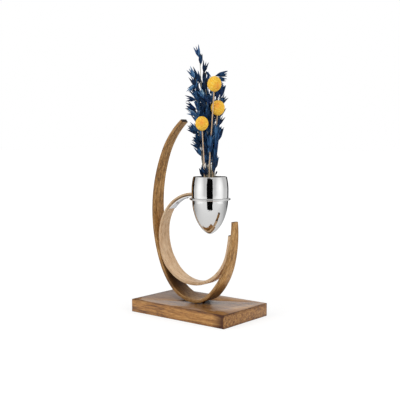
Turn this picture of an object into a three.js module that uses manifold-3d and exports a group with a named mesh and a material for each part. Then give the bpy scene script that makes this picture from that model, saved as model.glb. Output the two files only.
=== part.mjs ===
import * as THREE from "three";
import { mergeVertices } from "three/addons/utils/BufferGeometryUtils.js";
import Module from "manifold-3d";

const wasm = await Module();
wasm.setup();

// All sizes are in millimetres and all angles in degrees. The board lies on z = 0
// with its length along X, and the bent strips stand in the plane y = 0.

// Clearance left wherever two pieces meet
const fitGap = 0.3;

// Oak board
const boardLength = 200;
const boardWidth = 120;
const boardThickness = 22;
const boardEase = 0.8;

// Outer strip: a flat tapered strip bent into an open loop that stands on its foot
const outerThickness = 5.5;
const outerFootX = 3;
const outerFootFlat = 0.4;
const outerTipWidth = 15.5;
const outerFootWidth = 37;
const outerEndWidth = 12;
const outerTipCorner = 1.6;
const rightFootRadius = 44;
const rightFootSweep = 45;
const rightCurveRadius = 132;
const rightCurveSweep = 27.5;
const rightArmRadius = 206;
const rightArmSweep = 20.2;
const leftFootRadius = 70;
const leftFootSweep = 45.5;
const leftCurveRadius = 120;
const leftCurveSweep = 20;
const leftArmRadius = 240;
const leftArmSweep = 48;
const leftTipRadius = 135;
const leftTipSweep = 29;

// Inner strip: glued inside the right arm, touching the left arm, ending level over the ring
const innerThickness = 5.5;
const innerEndDrop = 23;
const innerGlueLength = 32.5;
const innerShoulderRadius = 91.1;
const innerShoulderSweep = 28;
const innerCrownRadius = 70;
const innerRingWidth = 11;
const innerWidestWidth = 28.5;
const innerWidestAt = 165;
const innerEndWidth = 13;

// Both strips
const stripEase = 0.6;
const stripEndCorner = 1.2;
const stripStepAngle = 4.5;
const stripStepLength = 11;
const cornerShares = [0.08, 0.3, 0.62, 1];
const blankHalfWidth = 10;

// Wood screws up through the board into the foot of the outer strip
const boardScrewSpacing = 20;
const boardScrewHeadRadius = 3.6;
const boardScrewHeadHeight = 2.6;
const boardScrewShankRadius = 1.8;
const boardScrewRecess = 0.6;
const boardScrewBite = 4;
const screwTipLength = 1.6;
const driveSlotWidth = 1;
const driveSlotDepth = 0.9;
const screwSegments = 16;
const holeSegments = 24;

// Metal strap under the crown of the inner strip
const strapThickness = 1.5;
const strapLength = 60;
const strapMargin = 0.8;
const strapScrewInset = 15;
const strapScrewPitch = 26;
const strapScrewHeadRadius = 2.3;
const strapScrewHeadHeight = 1.1;
const strapScrewShankRadius = 1.2;
const strapScrewBite = 3.6;

// Ring and pot
const ringWireRadius = 1.8;
const potBellyRadius = 31;
const potBellyDepth = 73.6;
const potBellyDrop = 23;
const potRimRadius = 28.2;
const potSeatDrop = 37.4;
const potWall = 1.4;
const potBluntness = 2.5;
const potTaper = 0.64;
const potLiftClearance = 1.5;
const roundSegments = 48;
const ringSides = 10;
const eggSteps = 18;
const neckSteps = 4;
const innerEggSteps = 10;
const innerNeckSteps = 2;

// Dried flowers: the bunch's front is turned about the pot's axis
const bunchTurn = 39;
const globeStemRadius = 1.1;
const globeStemSides = 7;
const globeStemSteps = 14;
const globeSocketDepth = 4;
const highGlobeHeight = 151.1;
const middleGlobeHeight = 113.1;
const lowGlobeHeight = 87.3;
const globeRadius = 11.6;
const lowGlobeRadius = 10.8;
const globeStretch = 1.1;
const globeColumns = 20;
const globeRows = 12;
const oatStemRadius = 0.9;
const oatStemSides = 5;
const oatStemSteps = 10;
const tallStalkHeight = 192;
const crestStalkHeight = 167;
const rightStalkHeight = 164;
const leftStalkHeight = 158;
const backStalkHeight = 150;
const innerStalkHeight = 140;
const outerStalkHeight = 130;
const pedicelRadius = 0.45;
const pedicelLength = 4;
const pedicelRoot = 2;
const pedicelUprightRise = 70;
const huskLength = 22;
const huskWidth = 5;
const huskThickness = 2.6;
const huskWidestShare = 0.36;
const huskSplay = 13;
const shorterHuskShare = 0.9;
const settleTurns = [0, 18, -18, 36, -36, 54, -54, 80, -80, 110, -110, 150, -150];
const stemSearchSteps = 24;

const radians = THREE.MathUtils.degToRad;

function material(colour, roughness, metalness) {
  return new THREE.MeshStandardMaterial({ color: colour, roughness, metalness });
}

const darkOak = () => material(0xa0703c, 0.5, 0);
const paleOak = () => material(0xc39a66, 0.55, 0);
const polishedMetal = () => material(0xd8dade, 0.08, 1);
const screwSteel = () => material(0xb9bcc2, 0.3, 1);
const globeYellow = () => material(0xe8b424, 0.85, 0);
const driedStem = () => material(0xc39a6b, 0.8, 0);
const dyedBlue = () => material(0x14305c, 0.8, 0);

// Solids: a geometry's vertices are merged, empty triangles are dropped, and the
// whole is turned outwards, so that it can be joined and cut.

function signedVolume(position, index) {
  const a = new THREE.Vector3();
  const b = new THREE.Vector3();
  const c = new THREE.Vector3();
  let volume = 0;
  for (let i = 0; i < index.length; i += 3) {
    a.fromBufferAttribute(position, index[i]);
    b.fromBufferAttribute(position, index[i + 1]);
    c.fromBufferAttribute(position, index[i + 2]);
    volume += a.dot(b.cross(c)) / 6;
  }
  return volume;
}

function solidOf(geometry) {
  const bare = geometry.clone();
  bare.deleteAttribute("normal");
  bare.deleteAttribute("uv");
  const merged = mergeVertices(bare);
  const source = merged.index.array;
  const index = [];
  for (let i = 0; i < source.length; i += 3) {
    const [a, b, c] = [source[i], source[i + 1], source[i + 2]];
    if (a !== b && b !== c && c !== a) index.push(a, b, c);
  }
  if (signedVolume(merged.attributes.position, index) < 0) index.reverse();
  return new wasm.Manifold(new wasm.Mesh({
    numProp: 3,
    vertProperties: new Float32Array(merged.attributes.position.array),
    triVerts: new Uint32Array(index),
  }));
}

function geometryOf(solid) {
  const mesh = solid.getMesh();
  const geometry = new THREE.BufferGeometry();
  geometry.setAttribute("position", new THREE.BufferAttribute(new Float32Array(mesh.vertProperties), 3));
  geometry.setIndex(new THREE.BufferAttribute(new Uint32Array(mesh.triVerts), 1));
  geometry.computeVertexNormals();
  return geometry;
}

function piece(name, solid, finish) {
  const mesh = new THREE.Mesh(geometryOf(solid), finish);
  mesh.name = name;
  return mesh;
}

// A turned shape stands on the origin with its axis along +Z
function turned(profile, segments) {
  const points = profile.map(([radius, height]) => new THREE.Vector2(radius, height));
  return new THREE.LatheGeometry(points, segments).rotateX(Math.PI / 2);
}

// Turns +Z to a direction and moves the origin to a place
function aim(geometry, place, direction) {
  const turn = new THREE.Quaternion().setFromUnitVectors(new THREE.Vector3(0, 0, 1), direction);
  return geometry.applyQuaternion(turn).translate(place.x, place.y, place.z);
}

function block(width, depth, height, x, y, z) {
  return solidOf(new THREE.BoxGeometry(width, depth, height).translate(x, y, z));
}

// Arcs that run on from each other without a kink, in the plane of the strips.
// A place is kept with its outward angle, which points away from the arc's centre.
class ArcChain {
  constructor(start, outwardAngle, direction) {
    this.end = start.clone();
    this.angle = outwardAngle;
    this.direction = direction;
    this.arcs = [];
    this.length = 0;
  }

  add(radius, sweep) {
    const outward = new THREE.Vector2(Math.cos(this.angle), Math.sin(this.angle));
    const centre = this.end.clone().addScaledVector(outward, -radius);
    this.arcs.push({ centre, radius, from: this.angle, start: this.length, sweep });
    this.length += radius * sweep;
    this.angle += this.direction * sweep;
    const last = new THREE.Vector2(Math.cos(this.angle), Math.sin(this.angle));
    this.end = centre.clone().addScaledVector(last, radius);
    return this;
  }

  at(distance) {
    const arc = this.arcs.findLast((each) => distance >= each.start) ?? this.arcs[0];
    const angle = arc.from + this.direction * (distance - arc.start) / arc.radius;
    const outward = new THREE.Vector2(Math.cos(angle), Math.sin(angle));
    return { point: arc.centre.clone().addScaledVector(outward, arc.radius), outward, angle };
  }

  // Distances close enough together to draw every arc smoothly
  distances() {
    const list = [0];
    for (const arc of this.arcs) {
      const byAngle = arc.sweep / radians(stripStepAngle);
      const byLength = arc.radius * arc.sweep / stripStepLength;
      const steps = Math.ceil(Math.max(byAngle, byLength));
      for (let i = 1; i <= steps; i += 1) {
        list.push(arc.start + arc.radius * arc.sweep * i / steps);
      }
    }
    return list;
  }
}

// Half of the width that a rounded corner takes away at a distance from the end
function cornerInset(distance, radius) {
  if (distance >= radius) return 0;
  return radius - Math.sqrt(radius * radius - (radius - distance) ** 2);
}

// Adds the distances that a corner of this radius needs at both ends
function withCorners(distances, length, startCorner, endCorner) {
  const extra = cornerShares.flatMap((share) => [share * startCorner, length - share * endCorner]);
  const inside = distances.filter((d) => d === 0 || d === length
    || (d > startCorner + 1 && d < length - endCorner - 1));
  return [...inside, ...extra].sort((a, b) => a - b);
}

// Bends a straight blank of eased rectangular section along a list of stations.
// Each station gives its point, its outward direction and the blank's width there.
function bentStrip(stations, inside, outside, ease) {
  const half = blankHalfWidth;
  const section = new THREE.Shape([
    new THREE.Vector2(inside, -half + ease),
    new THREE.Vector2(inside + ease, -half),
    new THREE.Vector2(outside - ease, -half),
    new THREE.Vector2(outside, -half + ease),
    new THREE.Vector2(outside, half - ease),
    new THREE.Vector2(outside - ease, half),
    new THREE.Vector2(inside + ease, half),
    new THREE.Vector2(inside, half - ease),
  ]);
  const steps = stations.length - 1;
  const blank = new THREE.ExtrudeGeometry(section, { depth: steps, steps, bevelEnabled: false });
  const position = blank.attributes.position;
  for (let i = 0; i < position.count; i += 1) {
    const station = stations[Math.round(position.getZ(i))];
    const across = position.getY(i);
    const y = Math.sign(across) * (station.width / 2 - (half - Math.abs(across)));
    const place = station.point.clone().addScaledVector(station.outward, position.getX(i));
    position.setXYZ(i, place.x, y, place.y);
  }
  return solidOf(blank);
}

const easeBetween = (from, to, share) => from + (to - from) * THREE.MathUtils.clamp(share, 0, 1);

// Outer strip: both arms start at its foot on the board
const foot = new THREE.Vector2(outerFootX, boardThickness + fitGap + outerThickness / 2 - outerFootFlat);
const rightArm = new ArcChain(foot, radians(-90), 1)
  .add(rightFootRadius, radians(rightFootSweep))
  .add(rightCurveRadius, radians(rightCurveSweep))
  .add(rightArmRadius, radians(rightArmSweep));
const leftArm = new ArcChain(foot, radians(-90), -1)
  .add(leftFootRadius, radians(leftFootSweep))
  .add(leftCurveRadius, radians(leftCurveSweep))
  .add(leftArmRadius, radians(leftArmSweep))
  .add(leftTipRadius, radians(leftTipSweep));

function outerStations() {
  const left = withCorners(leftArm.distances(), leftArm.length, 0, outerTipCorner).filter((d) => d > 0);
  const right = withCorners(rightArm.distances(), rightArm.length, 0, stripEndCorner);
  const leftStations = left.map((d) => ({
    ...leftArm.at(d),
    width: easeBetween(outerFootWidth, outerTipWidth, d / leftArm.length)
      - 2 * cornerInset(leftArm.length - d, outerTipCorner),
  }));
  const rightStations = right.filter((d, i) => i === 0 || d > 0).map((d) => ({
    ...rightArm.at(d),
    width: easeBetween(outerFootWidth, outerEndWidth, d / rightArm.length)
      - 2 * cornerInset(rightArm.length - d, stripEndCorner),
  }));
  return [...leftStations.reverse(), ...rightStations];
}

// Inner strip: its centre line is kept from the right end, down the glued stretch, round
// a loop whose radius makes it touch the left arm, and over the crown to the ring.
const glueOffset = (outerThickness + innerThickness) / 2 + fitGap;

function gluedAt(distance) {
  const place = rightArm.at(distance);
  return { ...place, point: place.point.clone().addScaledVector(place.outward, -glueOffset) };
}

function innerChain() {
  const leave = gluedAt(rightArm.length - innerEndDrop - innerGlueLength);
  const arm = leftArm.arcs[2];
  const armRadius = arm.radius - glueOffset;
  const span = leave.point.clone().sub(arm.centre);
  const reach = armRadius - span.dot(leave.outward);
  const loopRadius = (armRadius ** 2 - span.lengthSq()) / (2 * reach);
  const loopCentre = leave.point.clone().addScaledVector(leave.outward, -loopRadius);
  const touchAngle = loopCentre.clone().sub(arm.centre).angle() - 2 * Math.PI;
  const crownAngle = radians(-270);
  const chain = new ArcChain(leave.point, leave.angle, -1);
  chain.add(loopRadius, leave.angle - touchAngle);
  chain.add(innerShoulderRadius, radians(innerShoulderSweep));
  chain.add(innerCrownRadius, chain.angle - crownAngle);
  return chain;
}

const innerLoop = innerChain();
const innerLength = innerGlueLength + innerLoop.length;

// A place on the inner strip, by its distance from the end over the ring
function innerAt(distance) {
  const fromGlue = innerLoop.length - distance;
  if (fromGlue >= 0) return innerLoop.at(fromGlue);
  return gluedAt(rightArm.length - innerEndDrop - innerGlueLength - fromGlue);
}

function innerWidth(distance) {
  if (distance < innerWidestAt) {
    return easeBetween(innerRingWidth, innerWidestWidth, distance / innerWidestAt);
  }
  const share = (distance - innerWidestAt) / (innerLength - innerWidestAt);
  return easeBetween(innerWidestWidth, innerEndWidth, share);
}

function innerStations() {
  const loop = innerLoop.distances().map((d) => innerLoop.length - d);
  const glued = [1, 2, 3].map((i) => innerLoop.length + innerGlueLength * i / 3);
  const all = [...loop, ...glued].sort((a, b) => a - b);
  return withCorners(all, innerLength, stripEndCorner, stripEndCorner).map((d) => ({
    ...innerAt(d),
    width: innerWidth(d) - 2 * cornerInset(Math.min(d, innerLength - d), stripEndCorner),
  }));
}

// The plane of the strips as a place in space
const inSpace = (flat, y = 0) => new THREE.Vector3(flat.x, y, flat.y);

// Screws: +Z runs from the head to the tip, and z = 0 is where the head's top lies.
// The neck is where the head ends: a countersunk head narrows to the shank there.
function screwProfile(headRadius, headHeight, shankRadius, length, neckRadius) {
  const tip = length - screwTipLength;
  return [
    [0, 0],
    [headRadius, 0],
    [neckRadius, headHeight],
    [shankRadius, headHeight],
    [shankRadius, tip],
    [0, length],
  ];
}

function screw(profile, headRadius, place, direction) {
  const body = solidOf(turned(profile, screwSegments));
  const slot = block(3 * headRadius, driveSlotWidth, 2 * driveSlotDepth, 0, 0, 0);
  return solidOf(aim(geometryOf(body.subtract(slot)), place, direction));
}

// Board and outer strip, with the holes of the screws that join them
const boardScrewLength = boardThickness + fitGap + boardScrewBite - boardScrewRecess;
const boardScrewPlaces = [-1, 1].map((side) => new THREE.Vector3(
  outerFootX, side * boardScrewSpacing / 2, boardScrewRecess));
const boardScrewNames = ["board_screw_front", "board_screw_back"];
const up = new THREE.Vector3(0, 0, 1);

function boardHole(place) {
  const head = boardScrewHeadRadius + fitGap;
  const shank = boardScrewShankRadius + fitGap;
  const profile = [
    [0, -place.z - 1],
    [head, -place.z - 1],
    [head, 0],
    [shank, boardScrewHeadHeight + fitGap],
    [shank, boardScrewLength + fitGap],
    [0, boardScrewLength + fitGap],
  ];
  return solidOf(aim(turned(profile, holeSegments), place, up));
}

function board() {
  const outline = new THREE.Shape();
  const x = boardLength / 2 - boardEase;
  const y = boardWidth / 2 - boardEase;
  outline.moveTo(-x, -y).lineTo(x, -y).lineTo(x, y).lineTo(-x, y).closePath();
  const slab = new THREE.ExtrudeGeometry(outline, {
    depth: boardThickness - 2 * boardEase,
    bevelThickness: boardEase,
    bevelSize: boardEase,
    bevelSegments: 1,
  }).translate(0, 0, boardEase);
  const holes = boardScrewPlaces.map(boardHole);
  return holes.reduce((solid, hole) => solid.subtract(hole), solidOf(slab));
}

function outerStrip() {
  const strip = bentStrip(outerStations(), -outerThickness / 2, outerThickness / 2, stripEase);
  const floor = boardThickness + fitGap;
  const under = block(boardLength, boardWidth, boardThickness, 0, 0, floor - boardThickness / 2);
  const holes = boardScrewPlaces.map(boardHole);
  return holes.reduce((solid, hole) => solid.subtract(hole), strip.subtract(under));
}

function boardScrew(place) {
  const profile = screwProfile(boardScrewHeadRadius, boardScrewHeadHeight,
    boardScrewShankRadius, boardScrewLength, boardScrewShankRadius);
  return screw(profile, boardScrewHeadRadius, place, up);
}

// Inner strip, strap and the strap's screws, which enter from inside the crown
const strapInside = innerThickness / 2 + fitGap + strapThickness;
const strapOutside = innerThickness / 2 + fitGap;
const strapScrewLength = strapScrewHeadHeight + 2 * fitGap + strapThickness + strapScrewBite;
const strapScrewDistances = [strapLength - strapScrewInset, strapLength - strapScrewInset - strapScrewPitch];
const strapScrewNames = ["strap_screw_lower", "strap_screw_upper"];

function strapScrewSeat(distance) {
  const station = innerAt(distance);
  const head = strapInside + fitGap + strapScrewHeadHeight;
  const place = station.point.clone().addScaledVector(station.outward, -head);
  return { place: inSpace(place), direction: inSpace(station.outward) };
}

function strapScrewHole(distance) {
  const { place, direction } = strapScrewSeat(distance);
  const radius = strapScrewShankRadius + fitGap;
  const profile = [[0, 0], [radius, 0], [radius, strapScrewLength + fitGap], [0, strapScrewLength + fitGap]];
  return solidOf(aim(turned(profile, screwSegments), place, direction));
}

function drilled(solid) {
  return strapScrewDistances.reduce((left, d) => left.subtract(strapScrewHole(d)), solid);
}

function innerStrip() {
  return drilled(bentStrip(innerStations(), -innerThickness / 2, innerThickness / 2, stripEase));
}

function strap() {
  const steps = Math.ceil(strapLength / (stripStepLength / 2));
  const stations = Array.from({ length: steps + 1 }, (_, i) => {
    const d = strapLength * i / steps;
    return { ...innerAt(d), width: innerWidth(d) - 2 * strapMargin };
  });
  return drilled(bentStrip(stations, -strapInside, -strapOutside, strapThickness / 6));
}

function strapScrew(distance) {
  const { place, direction } = strapScrewSeat(distance);
  const profile = screwProfile(strapScrewHeadRadius, strapScrewHeadHeight,
    strapScrewShankRadius, strapScrewLength, strapScrewHeadRadius);
  return screw(profile, strapScrewHeadRadius, place, direction);
}

// Pot: below its belly the radius falls away as a blunt egg, above it a shallow arc
function eggRadius(drop, bellyRadius, depth) {
  return bellyRadius * (1 - (drop / depth) ** potBluntness) ** potTaper;
}

function eggDrop(radius, bellyRadius, depth) {
  return depth * (1 - (radius / bellyRadius) ** (1 / potTaper)) ** (1 / potBluntness);
}

function neckRadius(rise, bellyRadius, rimRadius) {
  const fall = bellyRadius - rimRadius;
  const arc = (potBellyDrop ** 2 + fall ** 2) / (2 * fall);
  return bellyRadius - arc + Math.sqrt(arc ** 2 - rise ** 2);
}

const crownEnd = innerAt(0).point;
const potAxisX = crownEnd.x + potLiftClearance + potBellyRadius;
const seatRadius = eggRadius(potSeatDrop - potBellyDrop, potBellyRadius, potBellyDepth);
const ringRadius = seatRadius + fitGap + ringWireRadius;
const ringZ = crownEnd.y - strapInside - fitGap - ringWireRadius;
const rimZ = ringZ + potSeatDrop;
const bellyZ = rimZ - potBellyDrop;

function wallProfile(bellyRadius, depth, rimRadius, eggCount, neckCount) {
  const egg = Array.from({ length: eggCount + 1 }, (_, i) => {
    const drop = depth * Math.cos(Math.PI / 2 * i / eggCount);
    return [i === 0 ? 0 : eggRadius(drop, bellyRadius, depth), bellyZ - drop];
  });
  const neck = Array.from({ length: neckCount }, (_, i) => {
    const rise = potBellyDrop * (i + 1) / neckCount;
    return [neckRadius(rise, bellyRadius, rimRadius), bellyZ + rise];
  });
  return [...egg, ...neck];
}

function pot() {
  const outside = wallProfile(potBellyRadius, potBellyDepth, potRimRadius, eggSteps, neckSteps);
  const inside = wallProfile(potBellyRadius - potWall, potBellyDepth - potWall,
    potRimRadius - potWall, innerEggSteps, innerNeckSteps).reverse();
  const lip = potWall / 4;
  outside[outside.length - 1][1] -= lip;
  inside[0][1] -= lip;
  const rim = [[potRimRadius - lip, rimZ], [potRimRadius - potWall + lip, rimZ]];
  const profile = [...outside, ...rim, ...inside];
  return solidOf(turned(profile, roundSegments).translate(potAxisX, 0, 0));
}

function ring() {
  const torus = new THREE.TorusGeometry(ringRadius, ringWireRadius, ringSides, roundSegments);
  return solidOf(torus.translate(potAxisX, 0, ringZ));
}

// Flowers. Places in the bunch are [right, back, up], from the pot's axis and the rim.
// A stem's foot stands on the inside of the pot's wall.
function footOn([right, back], radius) {
  const reach = Math.hypot(right, back) + radius;
  const drop = eggDrop(reach, potBellyRadius - potWall, potBellyDepth - potWall);
  return new THREE.Vector3(right, back, fitGap - potBellyDrop - drop);
}

function stemCurve(stem, radius, top) {
  const rim = new THREE.Vector3(stem.rim[0], stem.rim[1], 0);
  return new THREE.CatmullRomCurve3([footOn(stem.foot, radius), rim, top]);
}

function tube(curve, radius, sides, steps) {
  const section = new THREE.Shape();
  for (let i = 0; i < sides; i += 1) {
    const angle = 2 * Math.PI * i / sides;
    const corner = [radius * Math.cos(angle), radius * Math.sin(angle)];
    if (i === 0) section.moveTo(...corner);
    else section.lineTo(...corner);
  }
  section.closePath();
  return solidOf(new THREE.ExtrudeGeometry(section, { extrudePath: curve, steps }));
}

// Globe flowers: foot and rim place the stem, head is the globe's middle
const globeFlowers = [
  {
    name: "high", foot: [0, -5], rim: [-1.6, -10], head: [6.6, -22, highGlobeHeight],
    radius: globeRadius,
  },
  {
    name: "middle", foot: [4.5, -3], rim: [4, -6], head: [12.5, -8, middleGlobeHeight],
    radius: globeRadius,
  },
  {
    name: "low", foot: [-6, -4], rim: [-9, -8.5], head: [-13.6, -22, lowGlobeHeight],
    radius: lowGlobeRadius,
  },
];

function globeFlower(flower) {
  const centre = new THREE.Vector3(...flower.head);
  const rim = new THREE.Vector3(flower.rim[0], flower.rim[1], 0);
  const axis = centre.clone().sub(rim).normalize();
  const halfHeight = flower.radius * globeStretch;
  const stemTop = centre.clone().addScaledVector(axis, globeSocketDepth - halfHeight);
  const curve = stemCurve(flower, globeStemRadius, stemTop);
  const sphere = new THREE.SphereGeometry(flower.radius, globeColumns, globeRows);
  const upright = sphere.rotateX(Math.PI / 2).scale(1, 1, globeStretch);
  const globe = solidOf(aim(upright, centre, axis));
  const bore = globeStemRadius + 1.5 * fitGap;
  const length = 2 * globeSocketDepth;
  const profile = [[0, fitGap - length], [bore, fitGap - length], [bore, fitGap], [0, fitGap]];
  const socket = solidOf(aim(turned(profile, screwSegments), stemTop, axis));
  return {
    stem: tube(curve, globeStemRadius, globeStemSides, globeStemSteps),
    head: globe.subtract(socket),
  };
}

// Oat stalks: each spikelet is [drop below the stalk's top, bearing, rise]. Bearing 0
// points right and 90 back, and a rise of 90 points straight up.
const oatStalks = [
  {
    name: "tall", foot: [-3, 1], rim: [-6, 1], top: [-17, 2, tallStalkHeight],
    spikelets: [[0, 180, 74], [12, 60, 85], [38, 190, -40], [42, 180, 66], [56, 20, 62], [66, 160, 55]],
  },
  {
    name: "crest", foot: [-1, 4.5], rim: [-3, 6], top: [-11.5, 6, crestStalkHeight],
    spikelets: [[0, 0, 78], [16, 60, 80], [30, 200, 78], [45, 20, 74], [61, 100, 66], [79, 170, 58]],
  },
  {
    name: "left", foot: [-7, 0.5], rim: [-11, -1], top: [-23.5, 0, leftStalkHeight],
    spikelets: [[0, 205, 46], [14, 160, 66], [34, 210, 5], [50, 186, 45], [60, 205, 20], [74, 170, 60],
      [87, 200, 33], [102, 235, 32], [117, 180, 36], [138, 180, 62], [163, 215, 62]],
  },
  {
    name: "outer_right", foot: [6, 1], rim: [6.5, 3], top: [17, 8, outerStalkHeight],
    spikelets: [[0, 20, 78], [18, 340, 72], [36, 350, 66], [52, 50, 70], [68, 350, 68],
      [88, 60, 78], [116, 50, 70]],
  },
  {
    name: "right", foot: [2.2, 1.6], rim: [3, 4], top: [6, 4, rightStalkHeight],
    spikelets: [[0, 350, 8], [7, 35, -14], [20, 60, 50], [36, 20, 56], [52, 90, 50], [70, 30, 60]],
  },
  {
    name: "middle", foot: [0.5, -1.5], rim: [-1, -2], top: [-7, -8, innerStalkHeight],
    spikelets: [[0, 250, 78], [16, 190, 55], [32, 220, 50], [50, 300, 60], [68, 200, 50],
      [86, 330, 62], [100, 290, 62], [112, 200, 62]],
  },
  {
    name: "back", foot: [1, 7], rim: [1, 11], top: [-3, 24, backStalkHeight],
    spikelets: [[0, 90, 72], [16, 20, 50], [32, 150, 45], [50, 60, 50], [68, 120, 45], [90, 80, 55]],
  },
  {
    name: "back_left", foot: [-5, 5], rim: [-8.5, 7], top: [-21, 14, innerStalkHeight],
    spikelets: [[0, 160, 74], [14, 190, 56], [30, 120, 50], [48, 180, 50], [68, 140, 55], [90, 170, 64]],
  },
  {
    name: "back_right", foot: [5, 5], rim: [6.5, 8], top: [16, 18, outerStalkHeight],
    spikelets: [[0, 40, 74], [16, 350, 56], [32, 60, 50], [50, 10, 64], [68, 50, 60], [88, 60, 76]],
  },
];

function direction(bearing, rise) {
  const flat = Math.cos(radians(rise));
  return new THREE.Vector3(
    flat * Math.cos(radians(bearing)), flat * Math.sin(radians(bearing)), Math.sin(radians(rise)));
}

// A husk is a slim eight-sided scale: its base lies on z = 0 and it points along +Z
function husk(length) {
  const geometry = new THREE.OctahedronGeometry(1).rotateX(Math.PI / 2);
  const position = geometry.attributes.position;
  for (let i = 0; i < position.count; i += 1) {
    const z = position.getZ(i);
    const along = z > 0.5 ? length : z < -0.5 ? 0 : huskWidestShare * length;
    position.setXYZ(i, position.getX(i) * huskWidth / 2, position.getY(i) * huskThickness / 2, along);
  }
  return geometry;
}

// Place on a stem at a height above the rim
function stemPoint(curve, height) {
  let low = 0;
  let high = 1;
  for (let i = 0; i < stemSearchSteps; i += 1) {
    const middle = (low + high) / 2;
    if (curve.getPoint(middle).z < height) low = middle;
    else high = middle;
  }
  return curve.getPoint(low);
}

// Two husks on a short side stalk, the lower one a little shorter
function spikelet(curve, height, bearing, rise) {
  const node = stemPoint(curve, height);
  const outward = direction(bearing, (rise + pedicelUprightRise) / 2);
  const bud = node.clone().addScaledVector(outward, pedicelLength);
  const length = pedicelLength + pedicelRoot;
  const pedicel = new THREE.CylinderGeometry(pedicelRadius, pedicelRadius, length, 4)
    .rotateX(Math.PI / 2).translate(0, 0, length / 2);
  const husks = [[huskSplay, huskLength], [-huskSplay, shorterHuskShare * huskLength]];
  return husks.reduce((solid, [splay, size]) => {
    const along = direction(bearing, rise + splay);
    const frame = new THREE.Matrix4().makeBasis(
      direction(bearing + 90, 0).cross(along), direction(bearing + 90, 0), along);
    const scale = husk(size).applyMatrix4(frame).translate(bud.x, bud.y, bud.z);
    return solid.add(solidOf(scale));
  }, solidOf(aim(pedicel, node, outward)));
}

// A spikelet turned about its stem until it clears everything around it
function settledSpikelet(curve, height, [bearing, rise], others) {
  const choices = settleTurns.map((turn) => spikelet(curve, height, bearing + turn, rise));
  return choices.find((solid) => others.every((other) => solid.minGap(other, 2 * fitGap) >= fitGap));
}

// The whole bunch in its own coordinates, by node name. Stems and globes are placed
// first, and then the spikelets are settled around them, inside and above the pot.
function arrange(potSolid) {
  const placed = new Map([["pot", potSolid.translate([-potAxisX, 0, -rimZ])]]);
  for (const flower of globeFlowers) {
    const { stem, head } = globeFlower(flower);
    placed.set(`globe_stem_${flower.name}`, stem);
    placed.set(`globe_head_${flower.name}`, head);
  }
  const curves = oatStalks.map((stalk) => stemCurve(stalk, oatStemRadius, new THREE.Vector3(...stalk.top)));
  oatStalks.forEach((stalk, i) => {
    placed.set(`oat_stalk_${stalk.name}`, tube(curves[i], oatStemRadius, oatStemSides, oatStemSteps));
  });
  oatStalks.forEach((stalk, i) => {
    const name = `oat_stalk_${stalk.name}`;
    const others = [...placed].filter(([each]) => each !== name).map(([, solid]) => solid);
    const spikelets = stalk.spikelets.map(([drop, ...aimed]) =>
      settledSpikelet(curves[i], stalk.top[2] - drop, aimed, others));
    const whole = spikelets.filter(Boolean).reduce((solid, each) => solid.add(each), placed.get(name));
    placed.set(name, whole);
  });
  placed.delete("pot");
  return placed;
}

function flowerFinish(name) {
  if (name.startsWith("globe_head")) return globeYellow();
  return name.startsWith("globe_stem") ? driedStem() : dyedBlue();
}

// Assembly: the frame stays, the pot lifts out of the ring, the bunch lifts out of the pot
const vase = new THREE.Group();
const stand = new THREE.Group();
const vessel = new THREE.Group();
const bunch = new THREE.Group();

stand.add(piece("base_board", board(), darkOak()));
stand.add(piece("outer_strip", outerStrip(), darkOak()));
stand.add(piece("inner_strip", innerStrip(), paleOak()));
stand.add(piece("ring_strap", strap(), polishedMetal()));
stand.add(piece("pot_ring", ring(), polishedMetal()));
boardScrewPlaces.forEach((place, i) => {
  stand.add(piece(boardScrewNames[i], boardScrew(place), screwSteel()));
});
strapScrewDistances.forEach((distance, i) => {
  stand.add(piece(strapScrewNames[i], strapScrew(distance), screwSteel()));
});

const potSolid = pot();
vessel.add(piece("pot", potSolid, polishedMetal()));

bunch.position.set(potAxisX, 0, rimZ);
bunch.rotation.z = radians(bunchTurn);
for (const [name, solid] of arrange(potSolid)) bunch.add(piece(name, solid, flowerFinish(name)));

vase.add(stand, vessel, bunch);

export default vase;
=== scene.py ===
# %% [markdown]
# A table vase. Two strips of bent oak stand on an oak board, a polished metal ring
# hangs from the inner strip, and an egg-shaped pot with dried flowers sits in it. The
# solid model gives every size and place. Here each piece is modelled again with a
# finer surface, and gets a finish worked out by nodes.

# %% Load the frame
import math
import random

import bmesh
import bpy
from mathutils import Matrix, Vector
from mathutils.geometry import interpolate_bezier
from mathutils.kdtree import KDTree


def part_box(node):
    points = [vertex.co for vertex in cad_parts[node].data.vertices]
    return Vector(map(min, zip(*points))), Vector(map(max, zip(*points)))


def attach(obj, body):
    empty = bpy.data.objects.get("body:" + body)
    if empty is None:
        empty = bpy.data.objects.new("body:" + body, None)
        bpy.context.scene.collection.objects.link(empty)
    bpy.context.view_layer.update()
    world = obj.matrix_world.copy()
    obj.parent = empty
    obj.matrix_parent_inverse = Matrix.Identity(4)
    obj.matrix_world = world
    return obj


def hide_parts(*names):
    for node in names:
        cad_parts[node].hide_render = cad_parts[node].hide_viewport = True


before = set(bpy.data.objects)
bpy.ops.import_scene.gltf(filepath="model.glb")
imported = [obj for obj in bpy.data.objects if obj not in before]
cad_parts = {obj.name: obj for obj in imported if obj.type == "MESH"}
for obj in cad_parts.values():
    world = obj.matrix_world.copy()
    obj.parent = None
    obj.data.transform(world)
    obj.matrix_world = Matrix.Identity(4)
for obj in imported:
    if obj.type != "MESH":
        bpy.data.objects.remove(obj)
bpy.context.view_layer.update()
scene = bpy.context.scene
print("nodes in the frame:", len(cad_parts))

# %% [markdown]
# Pieces are modelled in millimetres and scaled to metres when they are finished. The
# main places come from the boxes of the solids.

# %% Measure the frame
MM = 0.001


def measured(node):
    """The lowest and highest corner of a solid, in millimetres."""
    low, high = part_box(node)
    return low / MM, high / MM


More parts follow.
